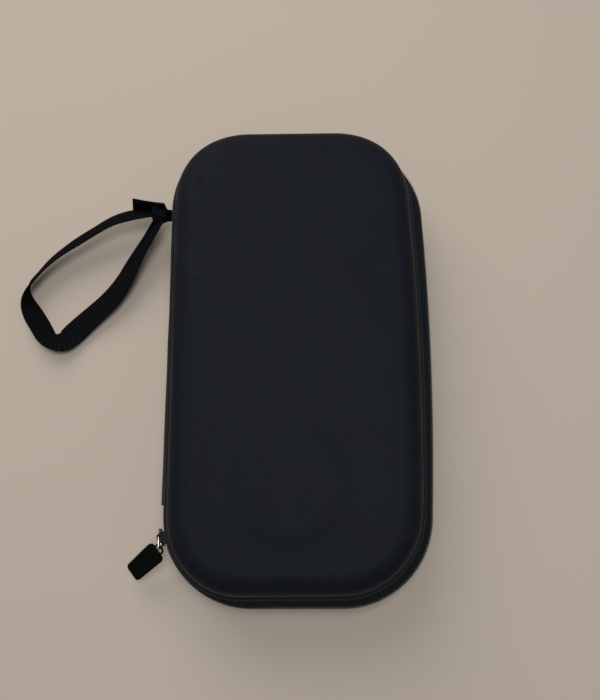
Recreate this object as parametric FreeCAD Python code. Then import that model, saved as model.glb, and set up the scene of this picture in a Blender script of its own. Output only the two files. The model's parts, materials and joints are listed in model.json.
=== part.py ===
import FreeCAD, Part
import math
import os

# Zip-up hard carrying case for a stethoscope: two moulded foam bowls covered in
# fabric, hinged along the left side and closed by a coil zip round the rest.
# Millimetres. +X across the case, away from the hinge; +Y towards the end with
# the wrist strap; +Z up. The origin is the middle of the bottom, on the table.

V = FreeCAD.Vector
UP = V(0, 0, 1)

# ---- the case's outline and halves -------------------------------------------
WIDTH = 143.0               # across the two rims
LENGTH = 269.0              # along the two rims
CORNER = 46.5               # corner radius of the rim
BASE_DEPTH = 22.0           # table to the base's rim
LID_DEPTH = 26.0            # lid's rim to its top
RIM_STRAIGHT = 6.0          # plumb part of each wall beside its rim
TAPER = 2.6                 # how far the base's wall leans in above that
SHOULDER = 13.0             # radius from wall to top or bottom

# ---- the laminated wall, from outside to inside --------------------------------
PIPING = 0.8                # woven piping over the zip tape's edge
TAPE = 0.7                  # zip tape
COVER = 0.8                 # outer fabric
FOAM = 3.6                  # moulded foam
LINING = 0.6                # knitted lining
BINDING = 0.8               # tape bound over each raw rim

# ---- the coil zip ---------------------------------------------------------------
BOW = 3.5                   # how far the tapes carry the chain outside the rims
COIL_OUT = 1.0              # coil's stand-out past that line
COIL_HEIGHT = 2.4           # one half of the coil, tape edge to middle
COIL_PLAY = 0.1             # each half's gap to the middle plane
TAPE_FREE = 1.2             # each tape's edge to the middle plane
ZIP_PAST_CORNER = 10.0      # where both coils end, past the start of the rear corner

# ---- the fabric hinge -------------------------------------------------------------
HINGE_SHORT_FRONT = 4.5     # the cover's ends, short of the two corners' starts
HINGE_SHORT_REAR = 6.0
TAPE_PAST_CORNER = 4.0      # the hinge tape's front end, past the corner's start
HINGE_LAP = 4.0             # how far both strips lap over each wall
HINGE_BULGE = 3.8           # the cover's slack, outwards
HINGE_COVER = 0.9           # cover's thickness
HINGE_SEAT = 0.05           # its clearance to the piping that it is sewn on

# ---- the zip's slider, link and rubber tab -------------------------------------------
PARK_ANGLE = 14.5           # slider's place past the start of the front left corner
SLIDER_LONG = 10.0
SLIDER_PLAY = 0.45          # plates' and flanges' clearance to the chain and tapes
SLIDER_RIM_PLAY = 1.3       # its clearance to the two bound rims
SLIDER_CLEAR = 0.9          # the lid's coil starts this far ahead of it
PLATE = 1.0                 # outer and inner plates
FLANGE = 0.95               # side flange thickness
WEDGE_HALF = 0.9            # half the height of the wedge between the plates
WEDGE_LONG = 3.0
BRIDGE_LONG = 5.2
BRIDGE_WIDE = 2.4
BRIDGE_BAR = 0.95
BRIDGE_EYE = 1.5            # clear height under the bridge
LINK_WIRE = 1.25
LINK_LONG = 6.5             # between the centres of the link's end bars
LINK_OUT = 13.0             # how far the parked link stands out from the chain
LINK_WIDE = 6.6             # between the centres of its side wires
TAB_LONG = 25.0
TAB_WIDE = 11.2
TAB_THICK = 2.6
TAB_DROOP = 36.0            # the tab hangs this far below level
TAB_HEADING = 217.5         # its direction in plan, from +X
TAB_NECK = 2.9              # link bar to the tab's root
EYE_RADIUS = 2.3            # centre line of the eye moulded on the tab
EYE_WIRE = 1.1
EYE_OFFSET = 0.5            # eye's centre past the link's bar

# ---- the wrist strap -------------------------------------------------------------------
WEBBING = 15.0              # width of the webbing
WEBBING_THICK = 1.2
ANCHOR_PAST_CORNER = 6.5    # anchor bar's place past the start of the rear corner
ANCHOR_OUT = 9.0            # anchor bar's distance outside the rim
ANCHOR_TAPE = 2.2           # thickness of the folded anchor cord
ANCHOR_UNDER = 0.8          # the loop's lower leg runs this far under the piping
ANCHOR_RISE = 5.0           # its highest point above the base's rim
ANCHOR_BEND = 2.4           # bend radius between its bar and its legs
EYE_WALL = 1.2              # webbing round the anchor's bar
GATHER_LONG = 6.5           # bar-tacked gather that holds the loop together
GATHER_WIDE = 8.6
GATHER_HIGH = 11.0
GATHER_ROUND = 0.8
GATHER_PLAY = 0.35
TAIL_WIDE = 12.0

# ---- inside the case -----------------------------------------------------------------------
MESH = 0.6                  # lid pocket's net
MESH_DROP = 1.2             # net's depth inside the lid's rim
POCKET_EDGE_Y = 22.0        # the pocket's open edge
HEM_WIDE = 9.0              # elastic along that edge
HEM_THICK = 1.4
BAND_WIDE = 25.0            # retaining bands across the base
BAND_THICK = 1.3
BAND_Y = 6.0
BAND_DEPTH = 3.0            # middle of the lapped bands below the base's rim
BAND_LAP = 34.0             # where the two bands lap over each other
PATCH_THICK = 1.5           # hook or loop pad
PATCH_INSET = 2.0
SEAT = 0.3                  # clearance where a soft piece seats on another

# ---- worked out -------------------------------------------------------------------------------
SLIDER_HALF_HIGH = COIL_PLAY + COIL_HEIGHT + SLIDER_PLAY + FLANGE
ZIP_GAP = 2 * (SLIDER_HALF_HIGH + SLIDER_RIM_PLAY + BINDING)
TAPE_BEND = SLIDER_HALF_HIGH + SLIDER_PLAY
BASE_RIM = BASE_DEPTH
LID_RIM = BASE_RIM + ZIP_GAP
MID = BASE_RIM + ZIP_GAP / 2
WALL_OUT = PIPING + TAPE
COVER_IN = WALL_OUT + COVER
FOAM_IN = COVER_IN + FOAM
WALL_IN = FOAM_IN + LINING
BINDING_IN = WALL_IN + BINDING
CORNER_X = -WIDTH / 2 + CORNER
CORNER_Y = -LENGTH / 2 + CORNER
REAR_CORNER_Y = -CORNER_Y
ZIP_REAR = REAR_CORNER_Y + ZIP_PAST_CORNER
HINGE_FRONT = CORNER_Y + HINGE_SHORT_FRONT
HINGE_REAR = REAR_CORNER_Y - HINGE_SHORT_REAR
HINGE_TAPE_FRONT = CORNER_Y - TAPE_PAST_CORNER
CHAIN_X = -WIDTH / 2 - BOW
SLIDER_Y = CORNER_Y - (CORNER + BOW) * math.sin(math.radians(PARK_ANGLE))
LID_ZIP_FRONT = SLIDER_Y - SLIDER_LONG / 2 - SLIDER_CLEAR
ANCHOR_LOW = BASE_RIM - RIM_STRAIGHT - ANCHOR_UNDER - ANCHOR_TAPE
ANCHOR_HIGH = BASE_RIM + ANCHOR_RISE
ANCHOR_X = -WIDTH / 2 - ANCHOR_OUT
ANCHOR_Y = REAR_CORNER_Y + ANCHOR_PAST_CORNER
GATHER_Z = (ANCHOR_LOW + ANCHOR_HIGH) / 2
BIG = 2 * (WIDTH + LENGTH)


# ---- building blocks -----------------------------------------------------------------------------

def outline(inset, z):
    """The rim's rounded rectangle, moved in by inset, as a closed wire."""
    r = CORNER - inset
    reach_x = WIDTH / 2 - CORNER
    reach_y = LENGTH / 2 - CORNER
    arcs = []
    for turn, (sx, sy) in enumerate(((1, 1), (-1, 1), (-1, -1), (1, -1))):
        centre = V(sx * reach_x, sy * reach_y, z)
        ends = []
        for share in (0, 0.5, 1):
            a = math.radians(90 * (turn + share))
            ends.append(centre + V(r * math.cos(a), r * math.sin(a), 0))
        arcs.append(ends)
    edges = []
    for ends, following in zip(arcs, arcs[1:] + arcs[:1]):
        edges.append(Part.Arc(*ends).toShape())
        edges.append(Part.makeLine(ends[2], following[0]))
    return Part.Wire(edges)


def slab(inset, z0, z1):
    """The solid inside the outline, from z0 to z1."""
    return Part.Face(outline(inset, z0)).extrude(V(0, 0, z1 - z0))


def ring(inset_out, inset_in, z0, z1):
    """A band that follows the rim between two insets."""
    return slab(inset_out, z0, z1).cut(slab(inset_in, z0 - 1, z1 + 1))


def box(x0, x1, y0, y1, z0, z1):
    return Part.makeBox(x1 - x0, y1 - y0, z1 - z0, V(x0, y0, z0))


def hinge_side(y0, y1):
    """A tall box over the case's left side between two y values."""
    return box(-BIG, CORNER_X, y0, y1, -BIG, BIG)


def bowl(inset, depth):
    """A closed bowl form: rim at z = 0, top at z = depth, with its shoulder."""
    lean = TAPER * (depth - RIM_STRAIGHT) / (BASE_DEPTH - RIM_STRAIGHT)
    wall = slab(inset, 0, RIM_STRAIGHT)
    upper = Part.makeLoft(
        [outline(inset, RIM_STRAIGHT), outline(inset + lean, depth)], True, True
    )
    form = wall.fuse(upper)
    radius = SHOULDER - (inset - WALL_OUT)
    top_edges = [
        e for e in form.Edges
        if all(abs(v.Point.z - depth) < 1e-6 for v in e.Vertexes)
    ]
    return form.makeFillet(radius, top_edges)


def layer(inset, thickness, depth):
    """One layer of a bowl's laminate, open at the rim."""
    outer = bowl(inset, depth)
    inner = bowl(inset + thickness, depth - thickness)
    below = slab(inset + thickness, -1, 0.01)
    return outer.cut(inner.fuse(below))


def as_lid(shape):
    """Places a bowl's piece, made with its rim at z = 0, as the lid's."""
    placed = shape.copy()
    placed.translate(V(0, 0, LID_RIM))
    return placed


def as_base(shape):
    """Places it as the base's: upside down, with its rim at the base's rim."""
    placed = shape.mirror(V(0, 0, 0), UP)
    placed.translate(V(0, 0, BASE_RIM))
    return placed


def write(name, shape):
    """Checks one node's solids and writes its STEP file."""
    shape = shape.removeSplitter() if shape.ShapeType != "Compound" else shape
    if not shape.isValid() or shape.Volume <= 0:
        raise ValueError(name + " is not a valid solid")
    if len(shape.Solids) == 1:
        shape = shape.Solids[0]
    shape.exportStep("parts/" + name + ".step")
    print("%-24s %2d solid  %9.1f mm3" % (name, len(shape.Solids), shape.Volume))


# ---- the two halves -----------------------------------------------------------------------------------

def half_pieces(depth, place):
    """The laminate and rim trim of one half, by the last word of their names."""
    rim = {
        "cover": layer(WALL_OUT, COVER, depth),
        "shell": layer(COVER_IN, FOAM, depth - COVER),
        "lining": layer(FOAM_IN, LINING, depth - COVER - FOAM),
        "piping": ring(0, PIPING, 0, RIM_STRAIGHT),
    }
    web = ring(WALL_OUT, BINDING_IN, -BINDING, 0)
    inner_leg = ring(WALL_IN, BINDING_IN, 0, RIM_STRAIGHT)
    rim["rim_binding"] = web.fuse(inner_leg)
    return {name: place(shape) for name, shape in rim.items()}


def zip_side(front):
    """Everything but the hinge side between the zip's two ends."""
    return box(-BIG, BIG, -BIG, BIG, -BIG, BIG).cut(hinge_side(front, ZIP_REAR))


def flared_ring(inset_a, z_a, inset_b, z_b):
    """A band one tape thick that slopes between two insets at two heights."""
    outer = Part.makeLoft([outline(inset_a, z_a), outline(inset_b, z_b)], True, True)
    inner = Part.makeLoft([outline(inset_a + TAPE, z_a), outline(inset_b + TAPE, z_b)], True, True)
    return outer.cut(inner)


def zip_tape(side, rim_z, front):
    """One tape: upright beside the chain, sloped to the rim, then sewn on the wall."""
    at_chain = PIPING - BOW
    bend = MID + side * TAPE_BEND
    z0, z1 = sorted((MID + side * TAPE_FREE, bend))
    tape = ring(at_chain, at_chain + TAPE, z0, z1)
    ends = [(at_chain, bend), (PIPING, rim_z)]
    (inset_a, z_a), (inset_b, z_b) = ends if side > 0 else ends[::-1]
    tape = tape.fuse(flared_ring(inset_a, z_a, inset_b, z_b))
    z0, z1 = sorted((rim_z, rim_z + side * RIM_STRAIGHT))
    tape = tape.fuse(ring(PIPING, WALL_OUT, z0, z1))
    return tape.common(zip_side(front))


def zip_coil(side, front):
    """One half of the coil: side is +1 above the middle plane, -1 below."""
    z0, z1 = sorted((MID + side * COIL_PLAY, MID + side * (COIL_PLAY + COIL_HEIGHT)))
    return ring(-BOW - COIL_OUT, PIPING - BOW, z0, z1).common(zip_side(front))


# ---- the fabric hinge ------------------------------------------------------------------------------------

def hinge_tape():
    low = BASE_RIM - RIM_STRAIGHT
    high = LID_RIM + RIM_STRAIGHT
    return ring(PIPING, WALL_OUT, low, high).common(
        hinge_side(HINGE_TAPE_FRONT, ZIP_REAR)
    )


def hinge_cover():
    """A strip sewn on both pipings, with slack that stands out between them."""
    half = ZIP_GAP / 2 + HINGE_LAP

    def bowed(out):
        x = -WIDTH / 2 - out
        low = V(x, HINGE_FRONT, MID - half)
        high = V(x, HINGE_FRONT, MID + half)
        crest = V(x - HINGE_BULGE, HINGE_FRONT, MID)
        return low, crest, high

    in_low, in_crest, in_high = bowed(HINGE_SEAT)
    out_low, out_crest, out_high = bowed(HINGE_SEAT + HINGE_COVER)
    profile = Part.Wire([
        Part.Arc(in_low, in_crest, in_high).toShape(),
        Part.makeLine(in_high, out_high),
        Part.Arc(out_high, out_crest, out_low).toShape(),
        Part.makeLine(out_low, in_low),
    ])
    return Part.Face(profile).extrude(V(0, HINGE_REAR - HINGE_FRONT, 0))


# ---- the slider and its pull, made on the straight wall and then turned to the corner --------------------

def local_box(u0, u1, n0, n1, h0, h1):
    """u runs along the chain to -Y, n out of it to -X, h up from the middle."""
    return box(CHAIN_X - n1, CHAIN_X - n0, CORNER_Y - u1, CORNER_Y - u0, MID + h0, MID + h1)


def local_point(u, n, h):
    return V(CHAIN_X - n, CORNER_Y - u, MID + h)


def park(shape):
    """Turns a piece made at the corner's start to the slider's parked place."""
    placed = shape.copy()
    placed.rotate(V(CORNER_X, CORNER_Y, 0), UP, PARK_ANGLE)
    return placed


def parked_point(u, n, h):
    a = math.radians(PARK_ANGLE)
    p = local_point(u, n, h) - V(CORNER_X, CORNER_Y, 0)
    return V(
        CORNER_X + p.x * math.cos(a) - p.y * math.sin(a),
        CORNER_Y + p.x * math.sin(a) + p.y * math.cos(a),
        p.z,
    )


OUTER_FACE = COIL_OUT + SLIDER_PLAY
OUTER_TOP = OUTER_FACE + PLATE
INNER_FACE = -WALL_OUT - SLIDER_PLAY
BRIDGE_TOP = OUTER_TOP + BRIDGE_EYE + BRIDGE_BAR
PIN_N = OUTER_TOP + BRIDGE_EYE / 2
PIN_U = -0.7
LINK_BAR_U = PIN_U + LINK_LONG * math.cos(math.radians(LINK_OUT))
LINK_BAR_N = PIN_N + LINK_LONG * math.sin(math.radians(LINK_OUT))


def slider():
    """Outer and inner plates, flanges, the wedge that joins them, and the bridge."""
    long = SLIDER_LONG / 2
    high = SLIDER_HALF_HIGH
    outer = local_box(-long, long, OUTER_FACE, OUTER_TOP, -high, high)
    corners = [e for e in outer.Edges if abs(e.Vertexes[0].Point.x - e.Vertexes[1].Point.x) > PLATE / 2]
    outer = outer.makeFillet(high / 2, corners)
    inner = local_box(-long, long, INNER_FACE - PLATE, INNER_FACE, -high, high)
    corners = [e for e in inner.Edges if abs(e.Vertexes[0].Point.x - e.Vertexes[1].Point.x) > PLATE / 2]
    inner = inner.makeFillet(high / 2, corners)
    body = outer.fuse(inner)
    flange_foot = -PIPING + SLIDER_PLAY
    for side in (-1, 1):
        h0, h1 = sorted((side * high, side * (high - FLANGE)))
        body = body.fuse(local_box(-long + 2, long - 1, flange_foot, OUTER_FACE, h0, h1))
    mouth = -long + 0.6
    wedge = Part.makePolygon([
        local_point(mouth, INNER_FACE, -WEDGE_HALF),
        local_point(mouth, INNER_FACE, WEDGE_HALF),
        local_point(mouth + WEDGE_LONG, INNER_FACE, WEDGE_HALF / 3),
        local_point(mouth + WEDGE_LONG, INNER_FACE, -WEDGE_HALF / 3),
        local_point(mouth, INNER_FACE, -WEDGE_HALF),
    ])
    body = body.fuse(Part.Face(wedge).extrude(V(-(OUTER_FACE - INNER_FACE), 0, 0)))
    arch = local_box(
        -BRIDGE_LONG / 2, BRIDGE_LONG / 2, OUTER_TOP - 0.1, BRIDGE_TOP,
        -BRIDGE_WIDE / 2, BRIDGE_WIDE / 2,
    )
    crown = [
        e for e in arch.Edges
        if all(abs(v.Point.x - (CHAIN_X - BRIDGE_TOP)) < 1e-6 for v in e.Vertexes)
        and abs(e.Vertexes[0].Point.z - e.Vertexes[1].Point.z) > BRIDGE_WIDE / 2
    ]
    arch = arch.makeFillet(BRIDGE_BAR * 1.3, crown)
    eye = local_box(
        -BRIDGE_LONG / 2 + BRIDGE_BAR, BRIDGE_LONG / 2 - BRIDGE_BAR,
        OUTER_TOP, BRIDGE_TOP - BRIDGE_BAR, -BRIDGE_WIDE, BRIDGE_WIDE,
    )
    return body.fuse(arch.cut(eye))


def wire_ring(centre, axis_u, axis_v, half_u, half_v, corner, wire):
    """A closed rounded-rectangle ring of round wire in the plane of two axes."""
    def at(u, v):
        return centre + axis_u * u + axis_v * v

    edges = []
    k = corner * (1 - math.sqrt(0.5))
    iu, iv = half_u - corner, half_v - corner
    spots = [(1, 1), (-1, 1), (-1, -1), (1, -1)]
    for i, (su, sv) in enumerate(spots):
        if i % 2 == 0:
            first, last = at(su * half_u, sv * iv), at(su * iu, sv * half_v)
        else:
            first, last = at(su * iu, sv * half_v), at(su * half_u, sv * iv)
        middle = at(su * (half_u - k), sv * (half_v - k))
        edges.append(Part.Arc(first, middle, last).toShape())
        nu, nv = spots[(i + 1) % 4]
        if i % 2 == 0:
            edges.append(Part.makeLine(last, at(nu * iu, nv * half_v)))
        else:
            edges.append(Part.makeLine(last, at(nu * half_u, nv * iv)))
    path = Part.Wire([e for e in edges if e.Length > 1e-6])
    start = path.Edges[0].Vertexes[0].Point
    tangent = path.Edges[0].tangentAt(path.Edges[0].FirstParameter)
    section = Part.Wire([Part.makeCircle(wire / 2, start, tangent)])
    return path.makePipeShell([section], True, True)


def pull_link():
    centre = local_point((PIN_U + LINK_BAR_U) / 2, (PIN_N + LINK_BAR_N) / 2, 0)
    along = (local_point(LINK_BAR_U, LINK_BAR_N, 0) - centre).normalize()
    ring_solid = wire_ring(centre, along, UP, LINK_LONG / 2, LINK_WIDE / 2, 1.4, LINK_WIRE)
    return park(ring_solid)


def pull_tab():
    """The rubber tab and its moulded eye, made level along +X and then drooped."""
    eye = Part.makeTorus(EYE_RADIUS, EYE_WIRE / 2, V(EYE_OFFSET, 0, 0), UP)
    half = TAB_WIDE / 2
    root, tip = TAB_NECK, TAB_NECK + TAB_LONG
    cut = 2.2
    plan = Part.makePolygon([
        V(root + 1.5, -half, 0), V(tip - cut, -half, 0), V(tip, -half + cut, 0),
        V(tip, half - cut, 0), V(tip - cut, half, 0), V(root + 1.5, half, 0),
        V(root, half - 1.5, 0), V(root, -half + 1.5, 0), V(root + 1.5, -half, 0),
    ])
    plate = Part.Face(plan).extrude(V(0, 0, TAB_THICK))
    plate.translate(V(0, 0, -TAB_THICK / 2))
    rim = [
        e for e in plate.Edges
        if abs(abs(e.Vertexes[0].Point.z) - TAB_THICK / 2) < 1e-6
        and abs(e.Vertexes[0].Point.z - e.Vertexes[1].Point.z) < 1e-6
    ]
    plate = plate.makeFillet(0.5, rim)
    for side in (-1, 1):
        panel = box(
            root + 3.0, tip - 2.6, -half + 1.8, half - 1.8,
            side * TAB_THICK / 2 - 0.35, side * TAB_THICK / 2 + 0.35,
        )
        plate = plate.cut(panel)
    tab = plate.fuse(eye)
    tab.rotate(V(0, 0, 0), V(0, 1, 0), TAB_DROOP)
    tab.rotate(V(0, 0, 0), UP, TAB_HEADING)
    tab.translate(parked_point(LINK_BAR_U, LINK_BAR_N, 0))
    return tab


# ---- the wrist strap -----------------------------------------------------------------------------------

# The loop's centre line, from the gather round the loop and back to it: x, y, z
# and the lean of the webbing's upper edge from plumb, outwards positive.
STRAP_ROUTE = [
    (-88.4, 96.6, 18.4, -36),
    (-94.2, 96.9, 17.6, -38),
    (-100.0, 96.6, 17.1, -40),
    (-106.7, 96.0, 16.5, -40),
    (-116.8, 93.4, 15.2, -37),
    (-126.9, 87.7, 13.8, -34),
    (-138.2, 81.0, 12.2, -35),
    (-148.5, 74.5, 10.6, -30),
    (-156.6, 68.2, 9.2, -27),
    (-163.2, 61.0, 8.3, -25),
    (-168.9, 53.9, 7.8, -31),
    (-169.1, 47.6, 7.8, -3),
    (-167.8, 39.9, 7.2, 32),
    (-164.6, 32.9, 6.6, 46),
    (-159.8, 25.5, 6.0, 45),
    (-155.1, 17.6, 6.4, 40),
    (-146.0, 16.7, 4.0, 67),
    (-140.3, 22.7, 3.2, 86),
    (-130.0, 32.8, 4.1, 63),
    (-117.7, 43.6, 6.2, 59),
    (-108.9, 55.5, 8.6, 51),
    (-103.0, 66.7, 11.2, 49),
    (-96.0, 78.2, 14.2, 43),
    (-90.6, 86.2, 17.0, 43),
    (-86.8, 92.1, 19.4, 43),
]

# The sewn end's centre line, from beside the case outwards, in the same terms.
TAIL_ROUTE = [
    (-82.4, 99.1, 21.6, 0),
    (-91.0, 100.0, 21.6, 0),
    (-103.4, 101.8, 21.4, 2),
]


def webbing_section(point, tangent, lean, width, thick):
    """The webbing's cross-section at one station of its route."""
    flat = V(tangent.x, tangent.y, 0).normalize()
    outward = V(flat.y, -flat.x, 0)
    a = math.radians(lean)
    across = UP * math.cos(a) + outward * math.sin(a)
    face = tangent.cross(across).normalize()
    corners = []
    for sw, sf in ((-1, -1), (1, -1), (1, 1), (-1, 1)):
        corners.append(point + across * (sw * width / 2) + face * (sf * thick / 2))
    return Part.makePolygon(corners + corners[:1])


def webbing(route, width, thick):
    points = [V(x, y, z) for x, y, z, _ in route]
    sections = []
    for i, (x, y, z, lean) in enumerate(route):
        before = points[max(i - 1, 0)]
        after = points[min(i + 1, len(points) - 1)]
        tangent = (after - before).normalize()
        sections.append(webbing_section(points[i], tangent, lean, width, thick))
    return Part.makeLoft(sections, True, True)


def corner_face(inset):
    """X of the rear corner's face at the nearer edge of the anchor's cord."""
    past = ANCHOR_PAST_CORNER - ANCHOR_TAPE / 2
    return CORNER_X - math.sqrt((CORNER - inset) ** 2 - past ** 2)


def strap_anchor():
    """A cord loop sewn to the base's wall and the hinge tape, its outer bar upright."""
    x_out = ANCHOR_X
    x_low = corner_face(WALL_OUT)
    x_high = corner_face(PIPING) - HINGE_SEAT
    r = ANCHOR_BEND
    k = r * (1 - math.sqrt(0.5))
    y = ANCHOR_Y
    low, high = ANCHOR_LOW + ANCHOR_TAPE / 2, ANCHOR_HIGH - ANCHOR_TAPE / 2
    path = Part.Wire([
        Part.makeLine(V(x_low, y, low), V(x_out + r, y, low)),
        Part.Arc(V(x_out + r, y, low), V(x_out + k, y, low + k), V(x_out, y, low + r)).toShape(),
        Part.makeLine(V(x_out, y, low + r), V(x_out, y, high - r)),
        Part.Arc(V(x_out, y, high - r), V(x_out + k, y, high - k), V(x_out + r, y, high)).toShape(),
        Part.makeLine(V(x_out + r, y, high), V(x_high, y, high)),
    ])
    section = Part.Wire([Part.makeCircle(ANCHOR_TAPE / 2, V(x_low, y, low), V(-1, 0, 0))])
    return path.makePipeShell([section], True, False)


def upright_section(x, wide, high):
    """A rectangle across X, centred on the anchor."""
    y0, y1 = ANCHOR_Y - wide / 2, ANCHOR_Y + wide / 2
    z0, z1 = GATHER_Z - high / 2, GATHER_Z + high / 2
    return Part.makePolygon([
        V(x, y0, z0), V(x, y1, z0), V(x, y1, z1), V(x, y0, z1), V(x, y0, z0),
    ])


def strap_gather():
    """The pleated, bar-tacked webbing: an eye round the anchor's bar, then a fan."""
    eye_high = ANCHOR_HIGH - ANCHOR_LOW - ANCHOR_TAPE - 2 * ANCHOR_BEND
    eye_radius = ANCHOR_TAPE / 2 + GATHER_PLAY + EYE_WALL
    z0 = GATHER_Z - eye_high / 2
    eye = Part.makeCylinder(eye_radius, eye_high, V(ANCHOR_X, ANCHOR_Y, z0), UP)
    x_neck = ANCHOR_X - ANCHOR_TAPE / 2 - GATHER_PLAY - 0.2
    x_fan = x_neck - GATHER_LONG
    fan = Part.makeLoft([
        upright_section(x_neck, 2 * eye_radius, eye_high),
        upright_section(x_fan, GATHER_WIDE, GATHER_HIGH),
    ], True, True)
    fan = fan.makeFillet(GATHER_ROUND, fan.Edges)
    bore = Part.makeCylinder(
        ANCHOR_TAPE / 2 + GATHER_PLAY, BIG, V(ANCHOR_X, ANCHOR_Y, -BIG / 2), UP
    )
    return eye.fuse(fan).cut(bore)


def print_strap_route():
    """The loop's length and its tightest bend, run to run."""
    points = [V(x, y, z) for x, y, z, _ in STRAP_ROUTE]
    runs = [b - a for a, b in zip(points, points[1:])]
    radii = []
    for before, after in zip(runs, runs[1:]):
        turn = before.getAngle(after)
        radii.append((before.Length + after.Length) / 2 / max(turn, 1e-6))
    length = sum(run.Length for run in runs)
    print("strap loop %.0f mm, bend radii %.0f to %.0f mm" % (length, min(radii), max(radii)))


def wrist_strap():
    """The loop outside the gather; the corners folded into it are left off."""
    loop = webbing(STRAP_ROUTE, WEBBING, WEBBING_THICK).cut(strap_gather())
    return max(loop.Solids, key=lambda solid: solid.Volume)


def strap_tail():
    """The two sewn ends of the webbing, laid flat on the gather's far side."""
    tail = webbing(TAIL_ROUTE, TAIL_WIDE, 2 * WEBBING_THICK)
    return tail.cut(strap_gather().fuse(wrist_strap()))


# ---- inside the case -----------------------------------------------------------------------------------

def mesh_pocket():
    z0 = LID_RIM + MESH_DROP
    net = slab(BINDING_IN + SEAT, z0, z0 + MESH)
    return net.common(box(-BIG, BIG, -BIG, POCKET_EDGE_Y, -BIG, BIG))


def mesh_pocket_hem():
    """Elastic folded over the net's open edge."""
    z_mid = LID_RIM + MESH_DROP + MESH / 2
    body = slab(BINDING_IN + SEAT, z_mid - HEM_THICK, z_mid + HEM_THICK)
    hem = body.common(box(-BIG, BIG, POCKET_EDGE_Y - HEM_WIDE, POCKET_EDGE_Y + HEM_THICK, -BIG, BIG))
    return hem.cut(mesh_pocket())


def retaining_band(side):
    """One band: side -1 from the left wall, +1 from the right and on top."""
    top = BASE_RIM - BAND_DEPTH
    reach = WIDTH / 2 - BINDING_IN - SEAT
    step = (BAND_THICK + PATCH_THICK + 2 * SEAT + PATCH_THICK) / 2
    z = top - step if side < 0 else top + step
    x0, x1 = sorted((side * reach, -side * BAND_LAP / 2))
    y0, y1 = BAND_Y - BAND_WIDE / 2, BAND_Y + BAND_WIDE / 2
    return box(x0, x1, y0, y1, z - BAND_THICK / 2, z + BAND_THICK / 2)


def band_patch(side):
    top = BASE_RIM - BAND_DEPTH
    half = BAND_WIDE / 2 - PATCH_INSET
    lap = BAND_LAP / 2 - PATCH_INSET
    z0, z1 = sorted((top + side * SEAT, top + side * (SEAT + PATCH_THICK)))
    return box(-lap, lap, BAND_Y - half, BAND_Y + half, z0, z1)


# ---- all the pieces ------------------------------------------------------------------------------------

def main():
    os.makedirs("parts", exist_ok=True)
    for name, shape in half_pieces(BASE_DEPTH, as_base).items():
        write("base_" + name, shape)
    for name, shape in half_pieces(LID_DEPTH, as_lid).items():
        write("lid_" + name, shape)
    write("base_zip_tape", zip_tape(-1, BASE_RIM, HINGE_TAPE_FRONT))
    write("lid_zip_tape", zip_tape(1, LID_RIM, LID_ZIP_FRONT))
    write("base_zip_coil", zip_coil(-1, SLIDER_Y))
    write("lid_zip_coil", zip_coil(1, LID_ZIP_FRONT))
    write("hinge_tape", hinge_tape())
    write("hinge_cover", hinge_cover())
    write("zip_slider", park(slider()))
    write("pull_link", pull_link())
    write("pull_tab", pull_tab())
    write("strap_anchor", strap_anchor())
    write("strap_gather", strap_gather())
    write("wrist_strap", wrist_strap())
    print_strap_route()
    write("strap_tail", strap_tail())
    write("mesh_pocket", mesh_pocket())
    write("mesh_pocket_hem", mesh_pocket_hem())
    write("left_band", retaining_band(-1))
    write("right_band", retaining_band(1))
    write("hook_patch", band_patch(-1))
    write("loop_patch", band_patch(1))


main()
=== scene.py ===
import bpy
import bmesh
import json
import math
import numpy as np
from mathutils import Matrix, Vector, noise


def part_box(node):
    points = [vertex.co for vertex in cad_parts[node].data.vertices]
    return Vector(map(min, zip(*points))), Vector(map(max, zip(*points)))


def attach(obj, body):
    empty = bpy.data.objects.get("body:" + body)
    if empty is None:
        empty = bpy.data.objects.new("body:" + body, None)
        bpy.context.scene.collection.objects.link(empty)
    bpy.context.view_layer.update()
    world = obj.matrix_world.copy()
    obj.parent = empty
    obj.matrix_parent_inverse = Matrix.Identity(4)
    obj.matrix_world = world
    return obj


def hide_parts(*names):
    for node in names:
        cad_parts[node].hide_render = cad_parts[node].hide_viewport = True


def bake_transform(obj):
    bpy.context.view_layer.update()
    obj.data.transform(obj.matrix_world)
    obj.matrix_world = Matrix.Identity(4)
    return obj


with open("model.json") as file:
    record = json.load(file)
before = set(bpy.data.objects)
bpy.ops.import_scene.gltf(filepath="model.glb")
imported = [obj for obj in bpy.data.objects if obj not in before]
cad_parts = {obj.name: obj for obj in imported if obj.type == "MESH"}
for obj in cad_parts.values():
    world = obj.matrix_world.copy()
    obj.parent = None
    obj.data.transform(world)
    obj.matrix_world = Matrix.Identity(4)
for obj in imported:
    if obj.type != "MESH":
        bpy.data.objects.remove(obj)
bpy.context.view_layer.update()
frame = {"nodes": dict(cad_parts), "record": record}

MM = 0.001


# ---- the case's sizes in millimetres, from the frame where a node gives them ----

def span(node):
    """Lowest and highest corner of a CAD node, in millimetres."""
    low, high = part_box(node)
    return [c / MM for c in low], [c / MM for c in high]


def joint_place(name):
    """A joint's place at rest, in millimetres."""
    joint = next(j for j in frame["record"]["behaviour"]["joints"] if j["name"] == name)
    return [c / MM for c in joint["pos_m"]]


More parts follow.
